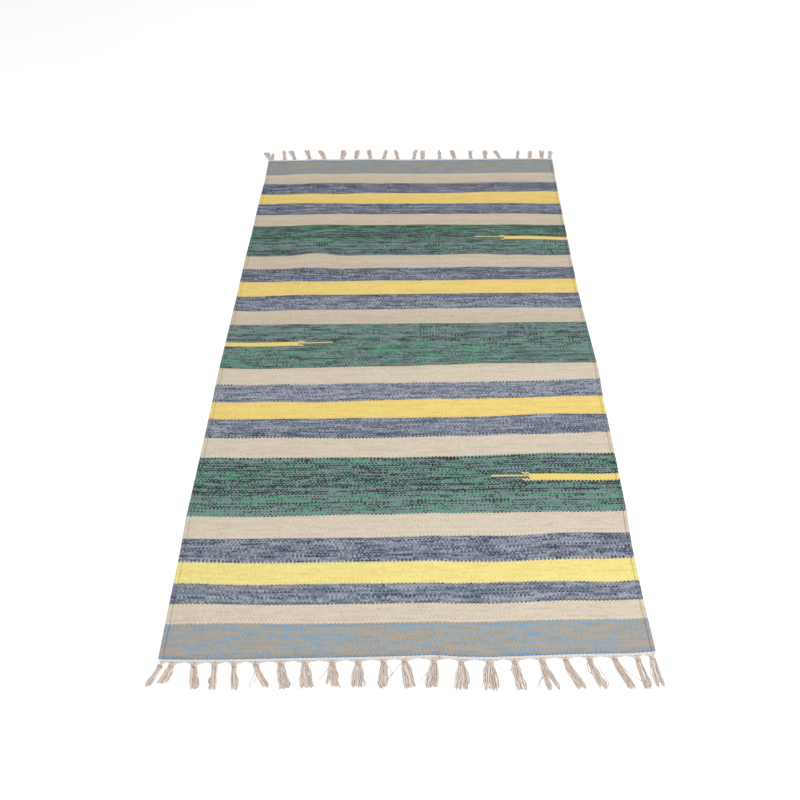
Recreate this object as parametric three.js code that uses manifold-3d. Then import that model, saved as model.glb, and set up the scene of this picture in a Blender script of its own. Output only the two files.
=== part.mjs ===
// A kilim rug laid flat: striped weft-faced cotton cloth with corded sides, a white twined
// heading at each end, and the warp ends knotted into tassels. Millimetres, +Z up.
// The origin is on the floor under the middle of the cloth. +Y runs to the far end.
import * as THREE from 'three';
import { mergeVertices } from 'three/addons/utils/BufferGeometryUtils.js';
import Module from 'manifold-3d';

const wasm = await Module();
wasm.setup();

// The woven cloth
const CLOTH_WIDTH = 900;
const CLOTH_LENGTH = 1500;
const CLOTH_THICK = 3.2;

// Clear space between two pieces that touch on the real rug
const GAP = 0.3;

// How far the sides stand out from straight edges, from the near end to the far one
const SIDE_ROWS = [
  { along: -750, left: 0, right: 0 },
  { along: -650, left: 3, right: -3 },
  { along: -550, left: 4, right: -2.5 },
  { along: -470, left: 7.5, right: 1.5 },
  { along: -300, left: 6.5, right: 2 },
  { along: -190, left: 6.5, right: 2 },
  { along: -100, left: 8.5, right: 5.5 },
  { along: 0, left: 6, right: 1.5 },
  { along: 150, left: 4.5, right: -4 },
  { along: 300, left: 4.5, right: -4.5 },
  { along: 400, left: 1.5, right: -4 },
  { along: 550, left: 0.5, right: -3.5 },
  { along: 650, left: -2.5, right: -2.5 },
  { along: 750, left: 0, right: 0 },
];

// How far the two ends stand out from square ones, from the left side to the right one
const END_ROWS = [
  { across: -450, near: 0, far: 0 },
  { across: -400, near: 1.6, far: -1 },
  { across: -345, near: 2.4, far: 0.4 },
  { across: -300, near: 2.2, far: 3 },
  { across: -215, near: 2, far: 1 },
  { across: -130, near: 1.9, far: 3.8 },
  { across: -40, near: 1.5, far: -0.6 },
  { across: 0, near: 1, far: -0.7 },
  { across: 50, near: 0.1, far: -0.3 },
  { across: 90, near: 3.8, far: -0.3 },
  { across: 150, near: 5.3, far: 0 },
  { across: 215, near: 4.4, far: 0.9 },
  { across: 300, near: 2.6, far: 2 },
  { across: 400, near: 2.6, far: 2 },
  { across: 450, near: 0, far: 0 },
];

// The corded side in section, from the outer edge in: a round rib, a groove, the flat cloth
const RIB_ROWS = [
  { inset: 0, height: 1.6 },
  { inset: 1.6, height: 4 },
  { inset: 4, height: 4.7 },
  { inset: 6.6, height: 3.9 },
  { inset: 8.4, height: 2.2 },
  { inset: 10.4, height: CLOTH_THICK },
];

// The twined heading in section, from the cloth out: a low round cord
const HEADING_ROWS = [
  { out: 0, height: 2.8 },
  { out: 1.4, height: 4.5 },
  { out: 3.2, height: 5 },
  { out: 4.9, height: 4.2 },
  { out: 6, height: 1.8 },
];
const HEADING_WIDTH = 6;
const HEADING_TIP_SCALE = 0.6;

// A tassel's head in section, from the heading out: gathered warps, then the knot, then its neck
const HEAD_ROWS = [
  { out: 0, gather: 1, half: 4.4, height: 2 },
  { out: 2.2, gather: 0.35, half: 4.4, height: 2.8 },
  { out: 4.6, gather: 0, half: 4.4, height: 4 },
  { out: 6.4, gather: 0, half: 5.4, height: 6 },
  { out: 9.4, gather: 0, half: 5.4, height: 6 },
  { out: 11.6, gather: 0, half: 4.7, height: 4.2 },
];
const GATHER_REACH = 13;
const SHOULDER_HALF = 0.9;
const SHOULDER_HEIGHT = 0.6;
const NECK = HEAD_ROWS[HEAD_ROWS.length - 1];
const ROOT_SUNK = 1.2;
const ROOT_LIFT = 0.25;

// Strands of a tassel: four-sided, flat on the floor, a little apart from each other
const STRAND_STEPS = [0, 0.45, 1];
const STRAND_WIDTH = 2.5;
const STRAND_HEIGHT = 2.2;
const STRAND_APART = 0.4;
const ROOT_HEIGHT = 1.9;
const TOP_SHARE = 0.7;
const TIP_SHARE = 0.75;
const UNEVEN_ENDS = 0.07;
const UNEVEN_TURN = 2.4;

// Tassels of the near end, left to right: where the knot sits, where the tip lies, how far
// the tip is from the cloth, how wide the tip spreads, and how many strands it has
const NEAR_TASSELS = [
  { knot: -444, tip: -459, reach: 45, spread: 10, strands: 5 },
  { knot: -425, tip: -438, reach: 39, spread: 12, strands: 5 },
  { knot: -386, tip: -380, reach: 50, spread: 15, strands: 6 },
  { knot: -350, tip: -346, reach: 50, spread: 16, strands: 6 },
  { knot: -315, tip: -305, reach: 50, spread: 15, strands: 6 },
  { knot: -274, tip: -252, reach: 48, spread: 12, strands: 5 },
  { knot: -233, tip: -221, reach: 51, spread: 21, strands: 7 },
  { knot: -188, tip: -180, reach: 51, spread: 25, strands: 8 },
  { knot: -138, tip: -132, reach: 50, spread: 30, strands: 8 },
  { knot: -90, tip: -91, reach: 51, spread: 25, strands: 8 },
  { knot: -45, tip: -44, reach: 54, spread: 20, strands: 7 },
  { knot: -7, tip: 2, reach: 55, spread: 20, strands: 7 },
  { knot: 44, tip: 41, reach: 56, spread: 26, strands: 8 },
  { knot: 94, tip: 96, reach: 56, spread: 25, strands: 8 },
  { knot: 142, tip: 149, reach: 56, spread: 22, strands: 7 },
  { knot: 190, tip: 198, reach: 56, spread: 21, strands: 7 },
  { knot: 239, tip: 251, reach: 57, spread: 28, strands: 8 },
  { knot: 284, tip: 303, reach: 57, spread: 15, strands: 5 },
  { knot: 327, tip: 346, reach: 57, spread: 18, strands: 6 },
  { knot: 371, tip: 394, reach: 57, spread: 16, strands: 6 },
  { knot: 415, tip: 425, reach: 57, spread: 14, strands: 5 },
  { knot: 441, tip: 451, reach: 57, spread: 15, strands: 6 },
];

// Tassels of the far end, left to right
const FAR_TASSELS = [
  { knot: -442, tip: -457, reach: 50, spread: 22, strands: 8 },
  { knot: -400, tip: -408, reach: 57, spread: 12, strands: 5 },
  { knot: -372, tip: -387, reach: 57, spread: 13, strands: 5 },
  { knot: -322, tip: -336, reach: 58, spread: 15, strands: 6 },
  { knot: -275, tip: -291, reach: 55, spread: 20, strands: 7 },
  { knot: -217, tip: -215, reach: 57, spread: 19, strands: 7 },
  { knot: -174, tip: -171, reach: 57, spread: 18, strands: 6 },
  { knot: -129, tip: -135, reach: 56, spread: 16, strands: 6 },
  { knot: -86, tip: -80, reach: 56, spread: 13, strands: 5 },
  { knot: -42, tip: -50, reach: 58, spread: 13, strands: 5 },
  { knot: 10, tip: 15, reach: 58, spread: 13, strands: 5 },
  { knot: 37, tip: 38, reach: 56, spread: 16, strands: 6 },
  { knot: 92, tip: 92, reach: 54, spread: 12, strands: 5 },
  { knot: 139, tip: 132, reach: 54, spread: 17, strands: 6 },
  { knot: 191, tip: 192, reach: 53, spread: 13, strands: 5 },
  { knot: 237, tip: 238, reach: 53, spread: 16, strands: 6 },
  { knot: 282, tip: 271, reach: 50, spread: 16, strands: 6 },
  { knot: 340, tip: 345, reach: 48, spread: 13, strands: 5 },
  { knot: 379, tip: 383, reach: 48, spread: 16, strands: 6 },
  { knot: 419, tip: 421, reach: 50, spread: 16, strands: 6 },
  { knot: 444, tip: 449, reach: 49, spread: 15, strands: 6 },
];

const ENDS = [
  { name: 'near', outward: -1, tassels: NEAR_TASSELS },
  { name: 'far', outward: 1, tassels: FAR_TASSELS },
];

const COTTON_CLOTH = new THREE.MeshStandardMaterial({ color: 0x9da08f, roughness: 0.95, metalness: 0 });
const WHITE_TWINE = new THREE.MeshStandardMaterial({ color: 0xebe4e2, roughness: 0.9, metalness: 0 });
const WARP_YARN = new THREE.MeshStandardMaterial({ color: 0xcdbeb2, roughness: 0.9, metalness: 0 });

// Value of a column at a place between two rows of a table, on straight lines
function between(rows, key, column, at) {
  const next = rows.findIndex((row) => row[key] >= at);
  if (next <= 0) return rows[next === 0 ? 0 : rows.length - 1][column];
  const share = (at - rows[next - 1][key]) / (rows[next][key] - rows[next - 1][key]);
  return THREE.MathUtils.lerp(rows[next - 1][column], rows[next][column], share);
}

function sideX(side, along) {
  const outward = between(SIDE_ROWS, 'along', side, along);
  return side === 'left' ? -CLOTH_WIDTH / 2 - outward : CLOTH_WIDTH / 2 + outward;
}

function endY(end, across) {
  return end.outward * (CLOTH_LENGTH / 2 + between(END_ROWS, 'across', end.name, across));
}

// A closed shape from corner points and triangles, turned so that its faces point out
function closedGeometry(points, triangles) {
  const volume = triangles.reduce((sum, [a, b, c]) => {
    const cross = new THREE.Vector3().crossVectors(points[b], points[c]);
    return sum + points[a].dot(cross);
  }, 0);
  const outward = volume > 0 ? triangles : triangles.map(([a, b, c]) => [a, c, b]);
  const geometry = new THREE.BufferGeometry().setFromPoints(points);
  geometry.setIndex(outward.flat());
  return geometry;
}

// A slab with a flat underside on the floor, from rows of points on its upper face
function slab(rows) {
  const count = rows.length;
  const width = rows[0].length;
  const upper = rows.flat();
  const lower = upper.map((point) => new THREE.Vector3(point.x, point.y, 0));
  const at = (row, column) => row * width + column;
  const triangles = [];
  for (let row = 0; row < count - 1; row += 1) {
    for (let column = 0; column < width - 1; column += 1) {
      const [a, b] = [at(row, column), at(row, column + 1)];
      const [c, d] = [at(row + 1, column + 1), at(row + 1, column)];
      triangles.push([a, b, c], [a, c, d]);
    }
  }
  const faces = triangles.concat(triangles.map(([a, b, c]) => [a, c, b].map((i) => i + upper.length)));
  const rim = [];
  for (let column = 0; column < width - 1; column += 1) rim.push(at(0, column));
  for (let row = 0; row < count - 1; row += 1) rim.push(at(row, width - 1));
  for (let column = width - 1; column > 0; column -= 1) rim.push(at(count - 1, column));
  for (let row = count - 1; row > 0; row -= 1) rim.push(at(row, 0));
  rim.forEach((a, index) => {
    const b = rim[(index + 1) % rim.length];
    faces.push([b, a, a + upper.length], [b, a + upper.length, b + upper.length]);
  });
  return closedGeometry([...upper, ...lower], faces);
}

// A closed tube through rings of equally many points, with flat ends
function loft(rings) {
  const sides = rings[0].length;
  const triangles = [];
  for (let ring = 0; ring < rings.length - 1; ring += 1) {
    for (let side = 0; side < sides; side += 1) {
      const next = (side + 1) % sides;
      const [a, b] = [ring * sides + side, ring * sides + next];
      const [c, d] = [b + sides, a + sides];
      triangles.push([a, b, c], [a, c, d]);
    }
  }
  const last = (rings.length - 1) * sides;
  for (let side = 1; side < sides - 1; side += 1) {
    triangles.push([0, side + 1, side], [last, last + side, last + side + 1]);
  }
  return closedGeometry(rings.flat(), triangles);
}

function toSolid(geometry) {
  const merged = mergeVertices(geometry);
  return new wasm.Manifold(new wasm.Mesh({
    numProp: 3,
    vertProperties: new Float32Array(merged.attributes.position.array),
    triVerts: new Uint32Array(merged.index.array),
  }));
}

function toGeometry(solid) {
  const mesh = solid.getMesh();
  const geometry = new THREE.BufferGeometry();
  geometry.setAttribute('position', new THREE.BufferAttribute(mesh.vertProperties, 3));
  geometry.setIndex(new THREE.BufferAttribute(mesh.triVerts, 1));
  return geometry;
}

// The cloth: its sides and ends follow the tables, its two sides are corded ribs
function clothGeometry() {
  const inner = END_ROWS.slice(1, -1).map((row) => (
    { share: row.across / CLOTH_WIDTH + 0.5, shift: 0, height: CLOTH_THICK }));
  const left = RIB_ROWS.map((row) => ({ share: 0, shift: row.inset, height: row.height }));
  const right = RIB_ROWS.map((row) => ({ share: 1, shift: -row.inset, height: row.height }));
  const columns = [...left, ...inner, ...right.reverse()];
  const rows = SIDE_ROWS.map(({ along }) => columns.map((column) => {
    const woven = THREE.MathUtils.lerp(sideX('left', along), sideX('right', along), column.share);
    const x = woven + column.shift;
    const y = THREE.MathUtils.lerp(endY(ENDS[0], x), endY(ENDS[1], x), along / CLOTH_LENGTH + 0.5);
    return new THREE.Vector3(x, y, column.height);
  }));
  return slab(rows);
}

// A heading: a low round cord along the end of the cloth, lower at its two tips
function headingGeometry(end) {
  const rows = HEADING_ROWS.map((row) => END_ROWS.map(({ across }) => {
    const atTip = Math.abs(across) === CLOTH_WIDTH / 2;
    const height = row.height * (atTip ? HEADING_TIP_SCALE : 1);
    return new THREE.Vector3(across, endY(end, across) + end.outward * (GAP + row.out), height);
  }));
  return slab(rows);
}

// Where a tassel's head starts: clear of the heading over its whole width
function headY(end, knot) {
  const reaches = [-GATHER_REACH, 0, GATHER_REACH].map((shift) => Math.abs(endY(end, knot + shift)));
  return end.outward * (Math.max(...reaches) + GAP + HEADING_WIDTH + GAP);
}

// Half the width of gathered warps on one side of a knot, short of the next tassel's
function gatherHalf(row, neighbour) {
  if (!neighbour) return HEAD_ROWS[0].half;
  const room = Math.abs(neighbour.knot - row.knot) / 2 - GAP;
  return Math.min(GATHER_REACH, room);
}

function headSolid(row, before, after, start, outward) {
  const rings = HEAD_ROWS.map((section) => {
    const left = THREE.MathUtils.lerp(section.half, gatherHalf(row, before), section.gather);
    const right = THREE.MathUtils.lerp(section.half, gatherHalf(row, after), section.gather);
    const y = start + outward * section.out;
    return [
      new THREE.Vector3(row.knot - left, y, 0),
      new THREE.Vector3(row.knot + right, y, 0),
      new THREE.Vector3(row.knot + right * SHOULDER_HALF, y, section.height * SHOULDER_HEIGHT),
      new THREE.Vector3(row.knot, y, section.height),
      new THREE.Vector3(row.knot - left * SHOULDER_HALF, y, section.height * SHOULDER_HEIGHT),
    ];
  });
  return toSolid(loft(rings));
}

// One strand, from inside the neck of the knot to its tip on the floor
function strandSolid(row, index, start, outward) {
  const place = (index + 0.5) / row.strands - 0.5;
  const rootPitch = 2 * NECK.half / row.strands;
  const tipPitch = row.spread / row.strands;
  const rootWidth = rootPitch - STRAND_APART;
  const freeWidth = Math.min(STRAND_WIDTH, tipPitch - STRAND_APART);
  const uneven = 1 - UNEVEN_ENDS * (0.5 + 0.5 * Math.sin(row.knot + index * UNEVEN_TURN));
  const length = (row.reach - HEADING_WIDTH - NECK.out + ROOT_SUNK) * uneven;
  const rings = STRAND_STEPS.map((step, stepIndex) => {
    const atRoot = stepIndex === 0;
    const taper = step === 1 ? TIP_SHARE : 1;
    const width = taper * THREE.MathUtils.lerp(rootWidth, freeWidth, Math.min(1, step * 2));
    const low = atRoot ? ROOT_LIFT : 0;
    const high = atRoot ? ROOT_HEIGHT : STRAND_HEIGHT;
    const fan = THREE.MathUtils.lerp(rootPitch, tipPitch, step) * place * row.strands;
    const lean = (row.tip - row.knot) * step;
    const x = row.knot + fan + lean;
    const y = start + outward * (NECK.out - ROOT_SUNK + length * step);
    return [
      new THREE.Vector3(x - width / 2, y, low),
      new THREE.Vector3(x + width / 2, y, low),
      new THREE.Vector3(x + width * TOP_SHARE / 2, y, high),
      new THREE.Vector3(x - width * TOP_SHARE / 2, y, high),
    ];
  });
  return toSolid(loft(rings));
}

function tasselGeometry(end, index) {
  const row = end.tassels[index];
  const start = headY(end, row.knot);
  let solid = headSolid(row, end.tassels[index - 1], end.tassels[index + 1], start, end.outward);
  for (let strand = 0; strand < row.strands; strand += 1) {
    solid = solid.add(strandSolid(row, strand, start, end.outward));
  }
  return toGeometry(solid);
}

function piece(name, geometry, material) {
  const mesh = new THREE.Mesh(geometry, material);
  mesh.name = name;
  return mesh;
}

const rug = new THREE.Group();
rug.add(piece('cloth', clothGeometry(), COTTON_CLOTH));
for (const end of ENDS) {
  rug.add(piece(`heading_${end.name}`, headingGeometry(end), WHITE_TWINE));
  end.tassels.forEach((row, index) => {
    const number = String(index + 1).padStart(2, '0');
    rug.add(piece(`tassel_${end.name}_${number}`, tasselGeometry(end, index), WARP_YARN));
  });
}

export default rug;
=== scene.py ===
# %% [markdown]
# # A striped kilim rug, dressed in Blender
# A kilim is a flat-woven rug: hard-packed wefts hide the warps and make all its colour. This lesson
# takes the rug's plain solids, which stand in the same place and at the same size, and gives them a
# woven surface, corded edges, twined headings and knotted tassels. Lengths in the tables are in
# millimetres, and one factor turns them to Blender's metres.

import math

import bpy
import numpy as np
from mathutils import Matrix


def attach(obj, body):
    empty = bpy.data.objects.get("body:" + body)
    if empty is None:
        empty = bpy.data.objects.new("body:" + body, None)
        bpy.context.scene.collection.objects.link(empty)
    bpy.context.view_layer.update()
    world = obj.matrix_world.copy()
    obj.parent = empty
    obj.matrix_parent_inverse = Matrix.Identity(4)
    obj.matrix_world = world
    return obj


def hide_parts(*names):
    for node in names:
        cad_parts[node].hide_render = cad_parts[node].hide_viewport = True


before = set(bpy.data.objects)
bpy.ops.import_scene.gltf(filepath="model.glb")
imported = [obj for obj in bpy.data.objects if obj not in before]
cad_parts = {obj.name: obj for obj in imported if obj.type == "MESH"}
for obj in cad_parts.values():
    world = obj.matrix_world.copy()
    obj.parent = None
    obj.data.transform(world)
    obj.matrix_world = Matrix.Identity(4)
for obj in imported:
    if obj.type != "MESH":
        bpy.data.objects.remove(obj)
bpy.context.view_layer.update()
MM = 0.001

# %% [markdown]
# ## Helpers
# A few small tools serve every piece. A hex colour is read as a person sees it and must be turned to
# linear light before a shader uses it. A shader node is one call that names its settings and what is
# plugged into it, and a ramp takes all its stops at once. A mesh made from points and faces gets its
# smooth shading and its place in the scene.

# %% Colour, node and mesh helpers
def linear(hex_colour):
    """Turn an sRGB colour such as #cfc4b4 into Blender's linear red, green, blue and alpha."""
    shares = [int(hex_colour[place:place + 2], 16) / 255 for place in (1, 3, 5)]
    curved = [share / 12.92 if share <= 0.04045 else ((share + 0.055) / 1.055) ** 2.4 for share in shares]
    return (*curved, 1.0)


def add_node(tree, kind, sockets=None, **settings):
    """Add a shader node. settings are its properties; sockets are its inputs, as values or as links."""
    node = tree.nodes.new(kind)
    for name, value in settings.items():
        setattr(node, name, value)
    for name, value in (sockets or {}).items():
        if isinstance(value, bpy.types.NodeSocket):
            tree.links.new(value, node.inputs[name])
        else:
            node.inputs[name].default_value = value
    return node


def new_material(name):
    """Make an empty node material and return it with its tree and its output node."""
    material = bpy.data.materials.new(name)
    material.use_nodes = True
    material.node_tree.nodes.clear()
    output = add_node(material.node_tree, "ShaderNodeOutputMaterial")
    return material, material.node_tree, output


def set_ramp(node, stops, interpolation):
    """Give a Color Ramp node its stops, each a place from 0 to 1 and a linear colour."""
    ramp = node.color_ramp
    ramp.interpolation = interpolation
    while len(ramp.elements) < len(stops):
        ramp.elements.new(1.0)
    for element, (place, colour) in zip(ramp.elements, stops):
        element.position = place
        element.color = colour


def new_mesh(name, points, faces, values):
    """Make a smooth mesh object from points in metres; values holds one vector for each point."""
    mesh = bpy.data.meshes.new(name)
    mesh.from_pydata(points.tolist(), [], faces)
    for attribute, rows in values.items():
        layer = mesh.attributes.new(attribute, "FLOAT_VECTOR", "POINT")
        layer.data.foreach_set("vector", np.asarray(rows, np.float32).ravel())
    mesh.shade_smooth()
    made = bpy.data.objects.new(name, mesh)
    bpy.context.scene.collection.objects.link(made)
    return made


# %% [markdown]
# ## The rug's outline
# No handmade rug is a true rectangle. Its sides draw in and out by a few millimetres and its ends
# wave, and the stripes, the edges and the tassels all have to follow. So the outline is two small
# tables that every later piece asks, instead of a rectangle that is bent at the end.

# %% Sides and ends
WIDTH = 900
LENGTH = 1500
THICK = 3.2
GAP = 0.3

# How far each long side stands out from its straight line, by place along the rug
SIDE_ALONG = (-750, -650, -550, -470, -300, -190, -100, 0, 150, 300, 400, 550, 650, 750)
SIDE_OUT = {
    "left": (3, 5, 6.2, 9.5, 8.4, 8.6, 10, 8.5, 6.2, 5.6, 3, 2, -1.5, 0),
    "right": (1, -2.4, -2.5, 1.3, 2, 2, 5.5, 1.5, -4, -4.5, -4, -3.5, -2.5, 0),
}
# How far each end stands out, by place across the rug
END_ACROSS = (-450, -400, -345, -300, -215, -130, -40, 0, 50, 90, 150, 215, 300, 400, 450)
END_OUT = {
    "near": (-1, 0.3, 1.1, 0.9, 0.6, 0.5, 0.1, -0.4, -1.3, 2.4, 3.8, 2.8, 0.9, 0.9, -1.5),
    "far": (0, -1, 0.4, 3, 1, 3.8, -0.6, -0.7, -0.3, -0.3, 0, 0.9, 2, 2, 0),
}
OUTWARD = {"near": -1, "far": 1}
SIDEWAYS = {"left": -1, "right": 1}


def side_x(side, along):
    """Where a long side is across the rug, in mm, at places along it."""
    return SIDEWAYS[side] * (WIDTH / 2 + np.interp(along, SIDE_ALONG, SIDE_OUT[side]))


def end_out(end, across):
    """How far an end lies from the rug's middle, in mm, at places across it."""
    return LENGTH / 2 + np.interp(across, END_ACROSS, END_OUT[end])


def place_on(across, share):
    """Where a point lies along the rug, in mm, at a share of the way from the near to the far end."""
    near = -end_out("near", across)
    return near + (end_out("far", across) - near) * share


widths = [side_x("right", along) - side_x("left", along) for along in SIDE_ALONG]
print("widest in mm:", float(max(widths)))

# %% [markdown]
# ## How the weave is laid out
# A weaver counts warps across and picks along. This rug has 230 warps, and each pick of weft passes
# over one and under the next, so on every warp only each second pick shows, as a float two picks long.
# The pattern is drawn in these counts: every point of the cloth keeps its warp number and its distance
# along the wefts. Hand-beaten wefts are never quite straight, so a table of soft bows lifts or drops
# the wefts here and there, and the stripes wave with them as they do on the loom.

# %% Warps, picks and bows
WARPS = 230
WARP_PITCH = WIDTH / WARPS
PICK = 1.54
# The near heading covers the first pick
HIDDEN_START = 1.5

# Soft bows of the wefts: (across, along from the near end, lift, reach across, reach along)
WEFT_BOWS = (
    (-430, 1431, -5, 50, 25), (-215, 1382, 4.4, 75, 24), (-129, 1382, -1.7, 70, 22),
    (-43, 1382, 1.8, 45, 90), (270, 1378, 3, 90, 22), (-410, 1334, -4.5, 70, 26),
    (-215, 1334, -2.8, 100, 90), (262, 1334, 5.5, 95, 26), (301, 1334, -1.8, 45, 22),
    (410, 1334, 4.5, 60, 26), (-387, 1283, 2, 70, 45), (-300, 1283, 4.5, 110, 28),
    (-215, 1283, 2.4, 45, 22), (400, 1280, -4, 70, 22), (-215, 1237, 3, 80, 28),
    (-129, 1237, -2.5, 45, 90), (430, 1237, -5, 60, 28), (-258, 1188, 5, 85, 40),
    (-301, 1186, -1.9, 45, 90), (43, 1186, 3.5, 150, 90), (400, 1186, -3, 60, 36),
    (184, 1137, 3, 60, 35), (450, 1127, -5.8, 75, 40), (-258, 1062, 10.5, 50, 42),
    (-172, 1060, -1.8, 70, 22), (172, 1060, 5, 75, 34), (258, 1060, -2, 45, 45),
    (387, 1060, -4.2, 70, 28), (-258, 1009, 3, 85, 28), (-200, 1009, -3, 90, 30),
    (-43, 1009, 2.1, 70, 90), (172, 1009, 3.2, 95, 28), (215, 960, 1.6, 100, 22),
    (430, 955, 3.5, 90, 40), (172, 911, 3.4, 150, 90), (-430, 905, -4, 60, 28),
    (-387, 857, -2.4, 60, 24), (-129, 857, -2, 45, 90), (172, 857, 2, 150, 28), (-190, 747, 1.3, 45, 30),
    (172, 672, 7, 105, 42), (-350, 670, -4.6, 110, 38), (344, 670, 2.1, 150, 30),
    (410, 655, 4.6, 90, 36), (-172, 617, -2.9, 150, 90), (-129, 617, 1.6, 100, 22),
    (430, 612, 4.5, 75, 28), (-420, 570, -3.6, 85, 28), (-215, 570, -3.6, 90, 34),
    (172, 570, 1.8, 150, 22), (400, 568, 3.8, 95, 32), (344, 519, 5.5, 110, 32),
    (-129, 468, -3.6, 105, 28), (43, 468, -1.6, 45, 90), (440, 468, 4.6, 95, 32),
    (-430, 415, 2.6, 80, 24), (-43, 415, -2.2, 150, 90), (344, 415, 4.2, 95, 28),
    (190, 370, 3, 120, 190), (178, 368, 1.2, 50, 30), (450, 361, -1.4, 80, 40),
    (-301, 279, -2.6, 105, 28), (-86, 228, -1.6, 150, 45), (129, 228, 1.6, 45, 90),
    (215, 228, -2, 60, 22), (344, 228, 4, 90, 24), (-430, 178, 3.4, 90, 28), (170, 178, -3.4, 95, 26),
    (-430, 134, 5, 95, 26), (-172, 134, 1.5, 150, 22), (387, 134, -2.8, 75, 24), (-390, 94, 4, 95, 24),
    (43, 94, -1.5, 45, 90), (172, 94, -2.4, 85, 20), (215, 94, 2.4, 150, 90), (-344, 59, 3.4, 95, 18),
)


def weft_place(across, share):
    """Distance along the wefts from the near end, in mm, with the bows taken out."""
    along = share * LENGTH
    place = along + HIDDEN_START * (1 - share)
    for bow_across, bow_along, lift, reach_across, reach_along in WEFT_BOWS:
        off = ((across - bow_across) / reach_across) ** 2 + ((along - bow_along) / reach_along) ** 2
        place = place - lift * np.exp(-off)
    return place


print("warps:", WARPS, "pitch in mm:", round(WARP_PITCH, 2), "picks:", round(LENGTH / PICK))

# %% [markdown]
# ## The woven cloth
# The cloth could be a flat box with a picture of stripes, but then it would look printed. Here each
# warp is a real low rib under the wefts, so light from the side draws the fine cords that give a kilim
# its look. The upper face has two columns of points for each warp. The underside lies flat on the
# floor with far fewer points, and a wall round the rim joins the two, so the sheet is closed. Soft
# swells of a few tenths of a millimetre keep the big plain areas from looking like card.

# %% Shape the cloth
EDGE_WARPS = 2
PANEL_WARPS = WARPS - 2 * EDGE_WARPS
RIB_RISE = 0.1
RIB_DIP = 0.18
EDGE_INSET = 8.0
EDGE_DROP = 0.7
EDGE_EASE = 2.6
# How dark the shade painted into the groove beside each corded edge is; the right one is painted darker
GROOVE_PAINTED_SHADE = {"left": 0.5, "right": 0.9}
ROWS = 152
# The underside keeps every fourth column and row
UNDER_STEP = 4
# Soft swells: (reach across, reach along, turn where they start, height)
SWELLS = ((310, 190, 0.3, 0.12), (170, 240, 1.9, 0.1), (95, 130, 4.0, 0.07), (520, 88, 2.2, 0.1))


def cloth_points(column_shares, row_shares):
    """Across, along and weave values for a grid of points over the cloth's panel, in mm."""
    share_across, share_along = np.meshgrid(column_shares, row_shares)
    straight = (share_along - 0.5) * LENGTH
    left = side_x("left", straight) + EDGE_INSET
    right = side_x("right", straight) - EDGE_INSET
    across = left + (right - left) * share_across
    along = place_on(across, share_along)
    warp = EDGE_WARPS + share_across * PANEL_WARPS
    inset = np.minimum(across - left, right - across)
    groove = np.clip(1 - inset / EDGE_EASE, 0, 1)
    # The weave's third value is the shade painted into the groove
    depth = np.where(share_across < 0.5, GROOVE_PAINTED_SHADE["left"], GROOVE_PAINTED_SHADE["right"])
    weave = np.stack([warp, weft_place(across, share_along), groove * depth], -1)
    return across, along, groove, weave


columns = np.linspace(0, 1, 2 * PANEL_WARPS + 1)
rows = np.linspace(0, 1, ROWS + 1)
across, along, groove, weave = cloth_points(columns, rows)
rib = np.where(np.arange(len(columns)) % 2 == 1, RIB_RISE, -RIB_DIP)
swell = sum(rise * np.sin(across / reach + along / run + turn) for reach, run, turn, rise in SWELLS)
height = THICK + rib + swell - EDGE_DROP * groove
upper = np.stack([across, along, height], -1).reshape(-1, 3)

under_columns = columns[::UNDER_STEP]
under_rows = rows[::UNDER_STEP]
under_across, under_along, _, under_weave = cloth_points(under_columns, under_rows)
under = np.stack([under_across, under_along, np.zeros_like(under_across)], -1).reshape(-1, 3)
print("upper points:", len(upper), "under points:", len(under))


# %% Join the faces round the rim
def grid_faces(row_count, column_count, first, flipped):
    """Four-sided faces of a grid of points; flipped ones look down."""
    faces = []
    for row in range(row_count - 1):
        for column in range(column_count - 1):
            a = first + row * column_count + column
            face = (a, a + 1, a + 1 + column_count, a + column_count)
            faces.append(face[::-1] if flipped else face)
    return faces


def rim_of(row_count, column_count, first):
    """The points round a grid's edge, in order."""
    grid = first + np.arange(row_count * column_count).reshape(row_count, column_count)
    loop = [grid[0, :-1], grid[:-1, -1], grid[-1, :0:-1], grid[:0:-1, 0]]
    return [side.tolist() for side in loop]


def wall_faces(upper_rim, under_rim):
    """Faces between two rims whose sides hold whole multiples of each other's points."""
    faces = []
    top_loop = sum(upper_rim, [])
    low_loop = sum(under_rim, [])
    top_at = 0
    low_at = 0
    for top_side, low_side in zip(upper_rim, under_rim):
        step = len(top_side) // len(low_side)
        for _ in low_side:
            tops = [top_loop[(top_at + place) % len(top_loop)] for place in range(step + 1)]
            lows = [low_loop[low_at], low_loop[(low_at + 1) % len(low_loop)]]
            faces.append((lows[0], lows[1], *tops[::-1]))
            top_at += step
            low_at += 1
    return faces


upper_size = (len(rows), len(columns))
under_size = (len(under_rows), len(under_columns))
cloth_faces = grid_faces(*upper_size, 0, False) + grid_faces(*under_size, len(upper), True)
cloth_faces += wall_faces(rim_of(*upper_size, 0), rim_of(*under_size, len(upper)))
weave_values = np.concatenate([weave.reshape(-1, 3), under_weave.reshape(-1, 3)])
cloth = new_mesh("woven_cloth", np.concatenate([upper, under]) * MM, cloth_faces, {"weave": weave_values})
print("cloth faces:", len(cloth.data.polygons))

# %% [markdown]
# ## The corded edges
# Along each long side the weaver packs the wefts round a thicker bundle of outer warps. It shows as a
# low round cord with a groove just inside it, and every turn of weft makes a tiny step on its outside.
# A bevelled curve would be too smooth, so the cord is built ring by ring, one ring for each pick, and
# every second ring stands out a little, which gives the row of small loops that the photo shows.

# %% Shape a corded edge
CORD_HALF = 4.3
CORD_LOW = 0.0
CORD_HIGH = 4.1
CORD_SIDES = 12
LOOP_RISE = 0.32
# The shade painted into the groove grows over the inner part of the cord: its slope, and what is taken off it
# first
SHADE_SLOPE = 3
SHADE_OFF = 2.2


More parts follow.
